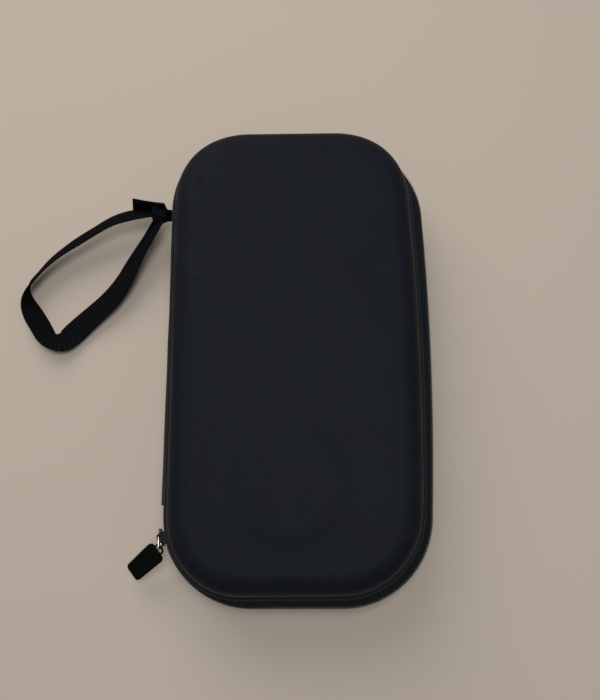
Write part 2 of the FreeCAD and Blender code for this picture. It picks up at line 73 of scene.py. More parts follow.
HALF_WIDE, HALF_LONG, BASE_RIM = span("base_piping")[1]
RIM_STRAIGHT = BASE_RIM - span("base_piping")[0][2]
LID_RIM = span("lid_piping")[0][2]
MID = (BASE_RIM + LID_RIM) / 2
DEPTHS = {"base": BASE_RIM, "lid": span("lid_cover")[1][2] - LID_RIM}
CORNER = 46.5           # corner radius of each rim
BOW = 3.5               # how far the tapes carry the chain outside the rims
TAPER = 2.6             # how far the base's wall leans in; the lid's has the same slope
SHOULDER = 13.0         # radius from wall to top or bottom
PIPING = 0.8
TAPE = 0.7
COVER = 0.8
FOAM = 3.6
LINING = 0.6
BINDING = 0.8
WALL_OUT = PIPING + TAPE
COVER_IN = WALL_OUT + COVER
FOAM_IN = COVER_IN + FOAM
WALL_IN = FOAM_IN + LINING
BINDING_IN = WALL_IN + BINDING
CORNER_X = HALF_WIDE - CORNER
CORNER_Y = HALF_LONG - CORNER
CHAIN_R = CORNER + BOW
TAPE_BEND = 4.35        # height past the middle plane where the zip tape bends in
FIT_GAP = 0.04          # keeps two faces that lie against each other apart

# ---- how the soft case differs from its moulded form ----

LID_SHIFT = (-2.08, 2.07, math.radians(0.57))  # x, y and turn against the base
LID_LONGER = 1.04       # the lid's front end past its moulded line
REAR_SWELL = 1.2
FRONT_LEFT_SWELL = 1.7
SIDE_BOW = 2.5
CROWN = 0.5
CROWN_HALVES = (62.0, 122.0)  # half width and length that the crown spans
WRINKLE = 0.16
CHEST_X, CHEST_Y = -2.0, -76.0
CHEST_RADIUS = 33.0
CHEST_RISE = 1.2


# ---- camera ----

def turned(axis, degrees):
    return Matrix.Rotation(math.radians(degrees), 3, axis)


FOCAL_PX = 760.0
LONG_SIDE_PX = 700.0
SENSOR = 36.0
CASE_TURN, CASE_TILT, CASE_ROLL = 0.13, -13.21, -0.4
CASE_IN_VIEW = Vector((-1.54, -5.93, -445.75))  # the zip's middle, seen from the camera


def make_camera():
    to_camera = turned("Y", CASE_ROLL) @ turned("X", CASE_TILT) @ turned("Z", CASE_TURN)
    eye = Vector((0, 0, MID)) - to_camera.transposed() @ CASE_IN_VIEW
    data = bpy.data.cameras.new("camera")
    data.sensor_width = SENSOR
    data.lens = FOCAL_PX * SENSOR / LONG_SIDE_PX
    data.clip_start = 0.02
    data.clip_end = 20.0
    camera = bpy.data.objects.new("camera", data)
    camera.matrix_world = Matrix.Translation(eye * MM) @ to_camera.transposed().to_4x4()
    bpy.context.scene.collection.objects.link(camera)
    bpy.context.scene.camera = camera


make_camera()


# ---- mesh helpers ----

def smooth_step(x):
    x = min(max(x, 0.0), 1.0)
    return x * x * (3 - 2 * x)


def between(pair, share):
    return pair[0] + (pair[1] - pair[0]) * share


def blunted(value, power):
    """A cosine or sine with its size raised to a power, which squares off a round section."""
    return math.copysign(abs(value) ** power, value)


def circle(count):
    """Angles evenly round a circle."""
    return [2 * math.pi * k / count for k in range(count)]


def add_object(name, mesh, material, body, replaces=()):
    """Links a piece; one that crosses a joint has no body."""
    obj = bpy.data.objects.new(name, mesh)
    bpy.context.scene.collection.objects.link(obj)
    mesh.materials.append(material)
    if replaces:
        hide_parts(*replaces)
    if body:
        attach(obj, body)
    return obj


def mesh_from(name, verts, faces, uvs, smooth=True):
    """A mesh from millimetre points; uvs holds one pair for each face corner."""
    mesh = bpy.data.meshes.new(name)
    mesh.from_pydata([(x * MM, y * MM, z * MM) for x, y, z in verts], [], faces)
    layer = mesh.uv_layers.new(name="cloth_mm")
    layer.data.foreach_set("uv", np.asarray(uvs, np.float32).ravel())
    mesh.polygons.foreach_set("use_smooth", [smooth] * len(mesh.polygons))
    return mesh


def grid(points, uv, wrap_rows=False, wrap_cols=False, cap_rows=False, flip=False):
    """Quads over points[row][col]; uv has one more row or column where it wraps."""
    rows, cols = len(points), len(points[0])
    verts = [p for row in points for p in row]
    faces, uvs = [], []
    for i in range(rows if wrap_rows else rows - 1):
        for j in range(cols if wrap_cols else cols - 1):
            i2, j2 = (i + 1) % rows, (j + 1) % cols
            quad = [i * cols + j, i * cols + j2, i2 * cols + j2, i2 * cols + j]
            spots = [uv[i][j], uv[i][j + 1], uv[i + 1][j + 1], uv[i + 1][j]]
            if flip:
                quad, spots = quad[::-1], spots[::-1]
            faces.append(quad)
            uvs.extend(spots)
    if cap_rows:
        for i, order in ((0, 1), (rows - 1, -1)):
            ring = [i * cols + j for j in range(cols)]
            spots = [uv[i][j] for j in range(cols)]
            if (order > 0) != flip:
                ring, spots = ring[::-1], spots[::-1]
            faces.append(ring)
            uvs.extend(spots)
    return verts, faces, uvs


def tube(rows, uv):
    """A form closed round its rows' points and capped at both ends."""
    return grid(rows, uv, wrap_cols=True, cap_rows=True)


def joined(parts):
    """Several (verts, faces, uvs) as one."""
    verts, faces, uvs = [], [], []
    for v, f, u in parts:
        start = len(verts)
        verts.extend(v)
        faces.extend([[k + start for k in face] for face in f])
        uvs.extend(u)
    return verts, faces, uvs


def outward(mesh):
    """Turns a closed mesh's faces outwards."""
    bm = bmesh.new()
    bm.from_mesh(mesh)
    bmesh.ops.recalc_face_normals(bm, faces=bm.faces)
    bm.to_mesh(mesh)
    bm.free()


def merged(mesh, distance=0.01):
    """Joins vertices that lie on each other."""
    bm = bmesh.new()
    bm.from_mesh(mesh)
    bmesh.ops.remove_doubles(bm, verts=bm.verts, dist=distance * MM)
    bm.to_mesh(mesh)
    bm.free()


def add_form(name, form, material, body, replaces=(), smooth=True):
    """A closed piece from a (verts, faces, uvs) form, with its faces turned outwards."""
    mesh = mesh_from(name, *form, smooth=smooth)
    outward(mesh)
    return add_object(name, mesh, material, body, replaces)


# ---- the line round the rim ----

CORNERS = [
    (-CORNER_X, -CORNER_Y, math.pi),
    (CORNER_X, -CORNER_Y, 1.5 * math.pi),
    (CORNER_X, CORNER_Y, 2 * math.pi),
    (-CORNER_X, CORNER_Y, 2.5 * math.pi),
]
ARC = CHAIN_R * math.pi / 2
RUNS = [2 * CORNER_X, 2 * CORNER_Y, 2 * CORNER_X, 2 * CORNER_Y]
RIM_LENGTH = 4 * ARC + sum(RUNS)


def rim_at(t):
    """Skeleton point and outward normal at a distance along the chain, counter-clockwise."""
    t %= RIM_LENGTH
    for k, (x, y, start) in enumerate(CORNERS):
        if t < ARC:
            a = start + t / CHAIN_R
            return x, y, math.cos(a), math.sin(a)
        t -= ARC
        if t < RUNS[k]:
            nx, ny = math.cos(start + math.pi / 2), math.sin(start + math.pi / 2)
            return x - ny * t, y + nx * t, nx, ny
        t -= RUNS[k]
    return -CORNER_X, -CORNER_Y, -1.0, 0.0  # rounding can leave t at the very end


def stations(step=3.3):
    """Distances along the chain, evenly spaced in each corner and each straight run."""
    found = []
    t = 0.0
    for run in RUNS:
        for length in (ARC, run):
            count = 2 * max(1, round(length / step / 2))
            found.extend(t + length * i / count for i in range(count))
            t += length
    return found


def stations_between(t0, t1, nearest=0.3):
    """The two ends, and every station between them that isn't too near to one."""
    inner = [t + lap for lap in (0, RIM_LENGTH) for t in stations()]
    return [t0] + [t for t in inner if t0 + nearest < t < t1 - nearest] + [t1]


PARK_ANGLE = math.radians(14.5)  # slider's place past the start of the front left corner
SLIDER_ROOM = 5.9       # the lid's coil starts this far ahead of the slider
ZIP_PAST_CORNER = 10.0  # where both coils end, past the start of the rear corner
TAPE_PAST_CORNER = 4.0  # the hinge tape's front end, past the corner's start
PARKED = CHAIN_R * PARK_ANGLE
ZIP_END = RIM_LENGTH - RUNS[3] - CHAIN_R * math.asin(ZIP_PAST_CORNER / CHAIN_R)
LID_ZIP_START = CHAIN_R * math.asin(math.sin(PARK_ANGLE) + SLIDER_ROOM / CHAIN_R)
HINGE_TAPE_END = CHAIN_R * math.asin(TAPE_PAST_CORNER / CHAIN_R)


def side_bow(x, y):
    """The long side opposite the hinge stands out a little in its middle."""
    return SIDE_BOW * max(0.0, 1 - (y / CORNER_Y) ** 2) * smooth_step(x / 60.0)


def lid_place(x, y, share=1.0):
    """The lid sits a little towards the hinge and the rear, as its soft hinge lets it."""
    dx, dy, turn = LID_SHIFT
    return x + share * (dx - turn * y), y + share * (dy + turn * x)


def lid_share(h):
    """How much of the lid's shift applies: all past its rim, none from the tape's bend on."""
    bend = LID_RIM - MID - TAPE_BEND
    return 1.0 if h >= 0 else smooth_step((h + bend) / bend)


def lid_swell(nx, ny):
    """How the soft lid's rim stands off its moulded line at its ends and corners."""
    swell = 0.0
    if ny > 0:
        swell = REAR_SWELL * (2 * nx * ny) ** 2
    elif nx < 0:
        swell = FRONT_LEFT_SWELL * smooth_step(-1.8 * ny) * smooth_step(-1.8 * nx)
    return nx * swell, ny * swell - LID_LONGER * max(-ny, 0.0) ** 2


def free_point(half, t, inset, h):
    """A wall point before the lid is laid in its place."""
    x, y, nx, ny = rim_at(t)
    out = CORNER - inset
    px, py = x + nx * out, y + ny * out
    px += side_bow(px, py)
    if half == "lid":
        share = lid_share(h)
        dx, dy = lid_swell(nx, ny)
        return px + share * dx, py + share * dy, LID_RIM + h
    return px, py, BASE_RIM - h


def wall_point(half, t, inset, h):
    """A point on one half: inset from the rim's line, h from its rim towards its top."""
    px, py, pz = free_point(half, t, inset, h)
    if half == "lid":
        px, py = lid_place(px, py, lid_share(h))
    return px, py, pz


def bowl_profile(inset, depth, arc_steps=10):
    """(inset, height, cloth distance) from the rim to where the top is flat."""
    slope = TAPER / (BASE_RIM - RIM_STRAIGHT)
    alpha = math.atan(slope)
    radius = SHOULDER - (inset - WALL_OUT)
    centre_h = depth - radius
    centre_i = inset + (centre_h - RIM_STRAIGHT) * slope + radius / math.cos(alpha)
    spots = [(inset, RIM_STRAIGHT * k / 4) for k in range(5)]
    foot = (centre_i - radius * math.cos(alpha), centre_h + radius * math.sin(alpha))
    spots.append(((inset + foot[0]) / 2, (RIM_STRAIGHT + foot[1]) / 2))
    for k in range(arc_steps + 1):
        theta = alpha + (math.pi / 2 - alpha) * k / arc_steps
        spots.append((centre_i - radius * math.cos(theta), centre_h + radius * math.sin(theta)))
    profile, d = [], 0.0
    for k, (i, h) in enumerate(spots):
        if k:
            d += math.hypot(i - spots[k - 1][0], h - spots[k - 1][1])
        profile.append((i, h, d))
    return profile


# ---- materials ----

class Material:
    """A Principled material whose nodes are made one call at a time."""

    def __init__(self, name, base, roughness, **fixed):
        self.material = bpy.data.materials.new(name)
        self.material.use_nodes = True
        self.tree = self.material.node_tree
        self.shader = self.tree.nodes["Principled BSDF"]
        self.base = base
        for socket, value in dict(fixed, Base_Color=(*base, 1.0), Roughness=roughness).items():
            self.shader.inputs[socket.replace("_", " ")].default_value = value

    def node(self, kind, inputs=(), **settings):
        made = self.tree.nodes.new(kind)
        for key, value in settings.items():
            setattr(made, key, value)
        for socket, value in dict(inputs).items():
            if isinstance(value, bpy.types.NodeSocket):
                self.tree.links.new(value, made.inputs[socket])
            else:
                made.inputs[socket].default_value = value
        return made

    def cloth_uv(self):
        return self.node("ShaderNodeUVMap", uv_map="cloth_mm").outputs["UV"]

    def turned(self, vector, degrees, scale=(1, 1, 1)):
        rotation = (0, 0, math.radians(degrees))
        made = self.node("ShaderNodeMapping", {
            "Vector": vector, "Rotation": rotation, "Scale": scale})
        return made.outputs["Vector"]

    def bands(self, vector, period, distortion=0.0, detail_scale=1.0):
        """Soft stripes across the vector's x, one for each period."""
        made = self.node("ShaderNodeTexWave", {
            "Vector": vector, "Scale": math.pi / 10 / period, "Distortion": distortion,
            "Detail Scale": detail_scale,
        }, wave_type="BANDS", bands_direction="X", wave_profile="SIN")
        return made.outputs["Fac"]

    def noise(self, vector, scale, detail):
        made = self.node("ShaderNodeTexNoise", {"Vector": vector, "Scale": scale, "Detail": detail})
        return made.outputs["Fac"]

    def maths(self, operation, a, b):
        return self.node("ShaderNodeMath", {0: a, 1: b}, operation=operation).outputs[0]

    def ranged(self, value, low, high, from_low=0.0, from_high=1.0):
        made = self.node("ShaderNodeMapRange", {
            "Value": value, "From Min": from_low, "From Max": from_high,
            "To Min": low, "To Max": high})
        return made.outputs["Result"]

    def colour(self, value, low, high):
        """Scales the base colour between two factors by a value from 0 to 1."""
        dark, light = [(*[c * factor for c in self.base], 1.0) for factor in (low, high)]
        mix = self.node("ShaderNodeMix", {0: value, 6: dark, 7: light}, data_type="RGBA")
        self.tree.links.new(mix.outputs[2], self.shader.inputs["Base Color"])

    def level(self):
        """1 where the surface faces up or down, 0 where it is plumb."""
        split = self.node("ShaderNodeSeparateXYZ", {
            "Vector": self.node("ShaderNodeNewGeometry").outputs["Normal"]})
        return self.maths("ABSOLUTE", split.outputs["Z"], 0.0)

    def rough(self, value, low, high):
        self.tree.links.new(self.ranged(value, low, high), self.shader.inputs["Roughness"])

    def bump(self, height, distance):
        made = self.node("ShaderNodeBump", {
            "Height": height, "Distance": distance * MM, "Strength": 1.0})
        self.tree.links.new(made.outputs["Normal"], self.shader.inputs["Normal"])


def woven(name, base, twill=1.65, slant=14.0, thread=0.55, relief=0.12, sheen=0.02,
          roughness=0.45, low=0.5, high=1.55, specular=0.025, wall_shade=0.12):
    """Woven cloth: twill ribs, threads and uneven dye, with painted shade that darkens its colour
    where the surface turns plumb, as on a wall.
    """
    m = Material(name, base, roughness, Sheen_Weight=sheen, Sheen_Roughness=0.45,
                 Specular_IOR_Level=specular)
    uv = m.cloth_uv()
    ribs = m.bands(m.turned(uv, slant), twill, distortion=0.6, detail_scale=1.4)
    warp = m.bands(uv, thread)
    weft = m.bands(m.turned(uv, 90), thread)
    threads = m.maths("MULTIPLY", warp, weft)
    mottled = m.noise(m.turned(uv, 0, (0.9, 0.22, 1.0)), 0.9, 4.0)
    broad = m.noise(uv, 0.035, 2.0)
    height = m.maths("ADD", m.maths("MULTIPLY", ribs, 0.6), m.maths("MULTIPLY", threads, 0.4))
    tone = m.maths("ADD", m.maths("MULTIPLY", height, 0.45), m.maths("MULTIPLY", mottled, 0.4))
    tone = m.maths("ADD", tone, m.maths("MULTIPLY", broad, 0.25))
    # painted shade: the colour darkens as the surface turns from level to plumb, over the walls and
    # shoulders
    painted_wall_shade = m.ranged(m.level(), wall_shade, 1.0, 0.3, 0.97)
    m.colour(m.maths("MULTIPLY", tone, painted_wall_shade), low, high)
    m.rough(mottled, roughness - 0.08, roughness + 0.08)
    m.bump(m.maths("ADD", height, m.maths("MULTIPLY", mottled, 0.5)), relief)
    return m.material


def ribbed(name, base, across=1.0, along=0.7, relief=0.15, sheen=0.01, roughness=0.85,
           low=0.6, high=1.45, specular=0.05):
    """Narrow woven tape: firm ribs across its length and fine ends along it."""
    m = Material(name, base, roughness, Sheen_Weight=sheen, Sheen_Roughness=0.5,
                 Specular_IOR_Level=specular)
    uv = m.cloth_uv()
    ribs = m.bands(uv, across)
    ends = m.bands(m.turned(uv, 90), along)
    worn = m.noise(uv, 0.5, 4.0)
    height = m.maths("ADD", m.maths("MULTIPLY", ribs, 0.65), m.maths("MULTIPLY", ends, 0.35))
    tone = m.maths("ADD", m.maths("MULTIPLY", height, 0.6), m.maths("MULTIPLY", worn, 0.4))
    m.colour(tone, low, high)
    m.rough(worn, roughness - 0.1, roughness + 0.1)
    m.bump(height, relief)
    return m.material


def moulded(name, base, roughness, grain=900.0, relief=0.02, low=0.85, high=1.15, **fixed):
    """Moulded or cast surface with fine grain."""
    m = Material(name, base, roughness, **fixed)
    place = m.node("ShaderNodeTexCoord").outputs["Object"]
    grains = m.noise(place, grain, 2.0)
    broad = m.noise(place, 90.0, 3.0)
    m.colour(broad, low, high)
    m.rough(broad, max(roughness - 0.08, 0.05), roughness + 0.08)
    m.bump(grains, relief)
    return m.material


FABRIC = (0.0062, 0.0073, 0.0108)
TAPE_COLOUR = (0.0062, 0.0078, 0.0088)
TRIM_COLOUR = (0.013, 0.0145, 0.017)
shell_fabric = woven("shell_fabric", FABRIC)
hinge_fabric = woven("hinge_fabric", FABRIC, slant=80.0)
binding_tape = ribbed("binding_tape", TRIM_COLOUR, across=0.8, along=0.5, relief=0.1)
zip_weave = ribbed("zip_weave", TAPE_COLOUR, across=0.95, along=0.6, relief=0.2, low=0.4, high=1.9)
strap_weave = ribbed("strap_weave", (0.0026, 0.0028, 0.0034), across=1.9, along=0.9, relief=0.25,
                     sheen=0.0, roughness=0.85, low=0.05, high=3.0, specular=0.01)
elastic_weave = ribbed("elastic_weave", (0.007, 0.007, 0.008), across=1.2, along=0.9, relief=0.2)
coil_plastic = moulded("coil_plastic", (0.006, 0.0068, 0.0076), 0.42, relief=0.01,
                       Specular_IOR_Level=0.5)
foam_material = moulded("foam_material", (0.02, 0.02, 0.021), 0.85, grain=1400.0, relief=0.06)
lining_knit = ribbed("lining_knit", (0.02, 0.02, 0.022), across=1.1, along=1.1, relief=0.12,
                     roughness=0.88)
net_thread = moulded("net_thread", (0.012, 0.012, 0.013), 0.6, grain=2500.0)
pad_material = moulded("pad_material", (0.009, 0.009, 0.01), 0.8, grain=1800.0, relief=0.1)
enamel = moulded("enamel", (0.004, 0.004, 0.0045), 0.12, grain=400.0, relief=0.003,
                 Specular_IOR_Level=0.4)
nickel = moulded("nickel", (0.35, 0.35, 0.36), 0.16, grain=500.0, relief=0.004, Metallic=1.0)
thread = moulded("thread", (0.022, 0.024, 0.028), 0.6, grain=1500.0, relief=0.02)
tab_rubber = moulded("tab_rubber", (0.0014, 0.0014, 0.0012), 0.75, grain=1100.0, relief=0.03,
                     Specular_IOR_Level=0.05)

# ---- the wrist strap ----

# x, y, z and the webbing's lean from plumb in degrees
STRAP_ROUTE = [
    (-88.4, 96.6, 18.4, -36),
    (-94.2, 96.9, 17.6, -40),
    (-100.0, 96.6, 17.1, -45),
    (-106.7, 96.0, 16.5, -49),
    (-116.8, 93.4, 15.2, -46),
    (-126.9, 87.7, 13.8, -43),
    (-138.2, 81.0, 12.2, -44),
    (-148.5, 74.5, 10.6, -39),
    (-156.6, 68.2, 9.2, -36),
    (-163.2, 61.0, 8.3, -31),
    (-168.9, 53.9, 7.8, -33),
    (-169.1, 47.6, 7.8, -3),
    (-167.8, 39.9, 7.2, 32),
    (-164.6, 32.9, 6.6, 46),
    (-159.8, 25.5, 6.0, 45),
    (-155.1, 17.6, 6.4, 40),
    (-146.0, 16.7, 4.0, 73),
    (-140.3, 22.7, 3.2, 88),
    (-130.0, 32.8, 4.1, 76),
    (-117.7, 43.6, 6.2, 71),
    (-108.9, 55.5, 8.6, 60),
    (-103.0, 66.7, 11.2, 53),
    (-96.0, 78.2, 14.2, 44),
    (-90.6, 86.2, 17.0, 43),
    (-86.8, 92.1, 19.4, 43),
]
TAIL_ROUTE = [
    (-82.4, 99.1, 21.6, 0),
    (-91.0, 100.0, 21.6, 0),
    (-103.4, 101.8, 21.4, 2),
]
WEBBING = 15.0
WEBBING_THICK = 1.2
RIB = 1.1               # pitch of the webbing's ribs
SELVEDGE_WAVE = 0.12    # how far each rib stands out at the edges
TAIL_WIDE = 14.0
TAIL_THICK = 1.15
TAIL_Z = TAIL_ROUTE[0][2]
TAIL_DROP = 0.9
TAIL_SHEAR = 0.2        # slant of the layers' far ends
TAIL_SHEAR_X, TAIL_HANG_X = -86.0, -84.0  # where the slant and the hang begin
TAIL_HANG = (-0.85, 1.8, -4.0)  # how far the far end hangs, clear of the opened lid
ANCHOR_X, ANCHOR_Y, GATHER_Z = joint_place("strap_swing")
GATHER_ENDS = (ANCHOR_X - 1.65, ANCHOR_X - 9.6)  # x of its neck and of its wide end
GATHER_WIDE = (7.6, 11.2)
GATHER_HIGH = (8.4, 12.8)
PLEATS_ROUND = 9
PLEAT_DEEP = (1.5, 2.0)
PLEAT_TWIST = 2.2       # radians that the pleats' pattern turns from end to end
EYELET_RADIUS = 2.8
EYELET_BORE = 1.42
EYELET_HALF = 2.6


def nurbs_line(points):
    """The evaluated points of the NURBS spline with these control points."""
    curve = bpy.data.curves.new("route", "CURVE")
    curve.dimensions = "3D"
    curve.resolution_u = 24
    spline = curve.splines.new("NURBS")
    spline.points.add(len(points) - 1)
    for spot, point in zip(spline.points, points):
        spot.co = (*point, 1.0)
    spline.order_u = 3
    spline.use_endpoint_u = True
    obj = bpy.data.objects.new("route", curve)
    bpy.context.scene.collection.objects.link(obj)
    bpy.context.view_layer.update()
    mesh = bpy.data.meshes.new_from_object(obj)
    line = [Vector(v.co) for v in mesh.vertices]
    bpy.data.objects.remove(obj)
    bpy.data.curves.remove(curve)
    bpy.data.meshes.remove(mesh)
    return line


def webbing_line(route, step):
    """Evenly spaced (point, lean, distance) along a route's spline, in millimetres."""
    line = [p / MM for p in nurbs_line([(x * MM, y * MM, z * MM) for x, y, z, _ in route])]
    leans = [p.x for p in nurbs_line([(lean, 0.0, 0.0) for *_, lean in route])]
    at = [0.0]
    for a, b in zip(line, line[1:]):
        at.append(at[-1] + (b - a).length)
    count = round(at[-1] / step)
    spots, k = [], 0
    for i in range(count + 1):
        d = at[-1] * i / count
        while k < len(line) - 2 and at[k + 1] < d:
            k += 1
        share = (d - at[k]) / max(at[k + 1] - at[k], 1e-9)
        spots.append((line[k].lerp(line[k + 1], share), between(leans[k:k + 2], share), d))
    return spots


def webbing_form(spots, width, thick, relief, cols=26):
    """A flat woven tape: ribs across both faces and rolled selvedges."""
    rows, uv = [], []
    for i, (point, lean, d) in enumerate(spots):
        before = spots[max(i - 1, 0)][0]
        after = spots[min(i + 1, len(spots) - 1)][0]
        tangent = (after - before).normalized()
        flat = Vector((tangent.x, tangent.y, 0)).normalized()
        out = Vector((flat.y, -flat.x, 0))
        a = math.radians(lean)
        across = Vector((0, 0, math.cos(a))) + out * math.sin(a)
        face = tangent.cross(across).normalized()
        wave = math.cos(2 * math.pi * d / RIB)
        half = width / 2 + SELVEDGE_WAVE * wave
        row, row_uv = [], []
        for phi in circle(cols):
            c, s = math.cos(phi), math.sin(phi)
            u = blunted(c, 0.55) * half
            v = blunted(s, 0.42) * (thick / 2 + relief * wave * min(1.0, 1.6 * abs(s)))
            row.append(tuple(point + across * u + face * v))
            row_uv.append((d, u if s >= 0 else 2 * width - u))
        rows.append(row)
        uv.append(row_uv + [(d, 2 * width - half)])
    return tube(rows, uv)


def tail_layer(side):
    """One of the strap's two sewn ends, which fan apart and hang at their far end."""
    spots = []
    for point, lean, d in webbing_line(TAIL_ROUTE, RIB / 4):
        a = math.radians(lean)
        normal = Vector((-0.12, math.cos(a), -math.sin(a)))
        spread = 0.62 + 0.35 * smooth_step((d - 12.0) / 9.0)
        spots.append((point + normal * side * spread, lean - side * 2.0, d))
    verts, faces, uvs = webbing_form(spots, TAIL_WIDE - 0.5 * side, TAIL_THICK, 0.1)
    placed = []
    for x, y, z in verts:
        x += TAIL_SHEAR * smooth_step((TAIL_SHEAR_X - x) / 12.0) * (z - TAIL_Z)
        z -= TAIL_DROP
        hang = smooth_step((TAIL_HANG_X - x) / 18.0)
        placed.append([c + hang * move for c, move in zip((x, y, z), TAIL_HANG)])
    return placed, faces, uvs


def gather_fan(steps=26, cols=72):
    """The strap's ends folded into pleats, narrow at the anchor and wide at the loop."""
    rows, uv = [], []
    for i in range(steps + 1):
        s = i / steps
        x = between(GATHER_ENDS, s)
        wide = between(GATHER_WIDE, smooth_step(s * 1.4))
        high = between(GATHER_HIGH, smooth_step(s * 1.2))
        row = []
        for phi in circle(cols):
            y = blunted(math.cos(phi), 0.6) * wide / 2
            z = blunted(math.sin(phi), 0.6) * high / 2
            turn = PLEATS_ROUND / 2 * phi + 0.35 + PLEAT_TWIST * s
            fold = between(PLEAT_DEEP, s) * (1 - abs(math.cos(turn)) ** 0.6)
            reach = 1 - fold / math.hypot(y, z)
            row.append((x, ANCHOR_Y + y * reach + 0.4 * s, GATHER_Z + z * reach - 0.8 * s))
        rows.append(row)
        uv.append([(x, phi * 4) for phi in circle(cols) + [2 * math.pi]])
    return tube(rows, uv)


def round_anchor(r, phi, z):
    return ANCHOR_X + r * math.cos(phi), ANCHOR_Y + r * math.sin(phi), z


def gather_eyelet(steps=12, cols=40):
    """The tight eye round the anchor's bar, open through its middle."""
    rows, uv = [], []
    for i in range(steps + 1):
        z = GATHER_Z - EYELET_HALF + 2 * EYELET_HALF * i / steps
        swell = 0.35 * math.sin(math.pi * i / steps)
        reach = [EYELET_RADIUS + swell + 0.3 * abs(math.cos(5 * phi)) for phi in circle(cols)]
        rows.append([round_anchor(r, phi, z) for r, phi in zip(reach, circle(cols))])
        uv.append([(z, phi * r) for r, phi in zip(reach + reach[:1], circle(cols) + [2 * math.pi])])
    for z in (GATHER_Z + EYELET_HALF, GATHER_Z - EYELET_HALF):
        rows.append([round_anchor(EYELET_BORE, phi, z) for phi in circle(cols)])
        uv.append([(z, j) for j in range(cols + 1)])
    uv.append(uv[0])
    return grid(rows, uv, wrap_rows=True, wrap_cols=True)


def make_strap():
    spots = webbing_line(STRAP_ROUTE, RIB / 4)
    loop = add_form("strap_loop", webbing_form(spots, WEBBING, WEBBING_THICK, 0.14), strap_weave,
                    "strap", ["wrist_strap"])
    tail = add_form("strap_end", joined([tail_layer(-1), tail_layer(1)]), strap_weave,
                    "strap", ["strap_tail"])
    gather = add_form("strap_pleats", joined([gather_fan(), gather_eyelet()]), strap_weave,
                      "strap", ["strap_gather"])


make_strap()


# ---- the two halves ----

def skin_rise(half, x, y):
    """Soft crown of the top, and the round swelling over the chest piece's place."""
    across, along = x / CROWN_HALVES[0], y / CROWN_HALVES[1]
    edge = smooth_step(min(1.0, (1 - across ** 2) * (1 - along ** 2) * 1.6))
    rise = (CROWN + WRINKLE * noise.noise(Vector((x * 0.035, y * 0.035, 3.1)))) * edge
    if half == "base":
        return -rise * 0.5
    r = math.hypot(x - CHEST_X, y - CHEST_Y) / CHEST_RADIUS
    return rise + CHEST_RISE * (1 - smooth_step((r - 0.76) / 0.3))


def bowl_skin(half, inset, depth, name, material, node, thickness, rows_in=16, spine=63.0):
    """The outer or inner cloth of one half: its wall, then rows that close on a spine line."""
    ts = stations()
    profile = bowl_profile(inset, depth)
    top_inset, top_h, top_d = profile[-1]
    rows, uv = [], []
    for i, h, d in profile:
        reach = CORNER - top_inset + top_d - d
        rows.append([wall_point(half, t, i, h) for t in ts])
        around = [rim_at(t) for t in ts + ts[:1]]
        uv.append([(x + nx * reach, y + ny * reach) for x, y, nx, ny in around])
    last = [free_point(half, t, top_inset, top_h) for t in ts]
    for k in range(1, rows_in + 1):
        s = k / rows_in
        row = []
        for t, (x, y, z) in zip(ts, last):
            along = rim_at(t)[1] + rim_at(t)[3] * (CORNER - top_inset)
            cy = along * spine / (HALF_LONG - top_inset)
            px, py = x * (1 - s), y + (cy - y) * s
            lift = skin_rise(half, px, py) if inset == WALL_OUT else 0.0
            if half == "lid":
                px, py = lid_place(px, py)
            row.append((px, py, z + lift))
        rows.append(row)
        uv.append([(p[0], p[1]) for p in row + row[:1]])
    mesh = mesh_from(half + name, *grid(rows, uv, wrap_cols=True, flip=(half == "base")))
    merged(mesh)
    skin = add_object(half + name, mesh, material, half, [half + node])
    solid = skin.modifiers.new("thickness", "SOLIDIFY")
    solid.thickness = thickness * MM
    solid.offset = -1.0
    solid.use_even_offset = False


def rim_sweep(half, name, section, material, node, ts=None):
    """A closed section of (inset, height) pairs carried round the whole rim or along ts."""
    whole = ts is None
    ts = stations() if whole else ts
    around = [0.0]
    for a, b in zip(section, section[1:] + section[:1]):
        around.append(around[-1] + math.hypot(b[0] - a[0], b[1] - a[1]))
    rows = [[wall_point(half, t, i, h) for i, h in section] for t in ts]
    uv = [[(t, v) for v in around] for t in ts + [RIM_LENGTH] * whole]
    form = grid(rows, uv, wrap_rows=whole, wrap_cols=True, cap_rows=not whole)
    add_form(half + name, form, material, half, [half + node])


def foam_half(half, spacing=5.0, rows_in=6):
    """The moulded foam between cloth and lining, as one closed form."""
    depth = DEPTHS[half] - COVER
    outer = bowl_profile(COVER_IN, depth, 8)
    inner = bowl_profile(FOAM_IN, depth - FOAM, 8)
    ts = stations(spacing)
    parts = []
    for profile in (outer, inner):
        rows = [[wall_point(half, t, i, h) for t in ts] for i, h, _ in profile]
        last = rows[-1]
        for k in range(1, rows_in + 1):
            s = k / rows_in
            rows.append([(x * (1 - s), y + (y * 0.47 - y) * s, z) for x, y, z in last])
        parts.append(rows)
    whole = parts[1][::-1] + parts[0]
    uv = [[(j * spacing, i * spacing) for j in range(len(ts) + 1)] for i in range(len(whole))]
    mesh = mesh_from(half + "_foam", *grid(whole, uv, wrap_cols=True))
    merged(mesh)
    outward(mesh)
    obj = add_object(half + "_foam", mesh, foam_material, half, [half + "_shell"])


def piping_section(bead=0.86):
    """Flat piping with a round bead along the edge that lies against the cloth."""
    spots = [(PIPING, RIM_STRAIGHT - 0.4), (PIPING, 0.3), (PIPING - 0.3, 0.0), (0.3, 0.0),
             (0.0, 0.3), (0.0, RIM_STRAIGHT - 2.2)]
    for k in range(11):
        a = math.radians(250 - 25 * k)
        spots.append((0.42 + bead * math.cos(a), RIM_STRAIGHT - 0.62 + bead * math.sin(a)))
    return spots


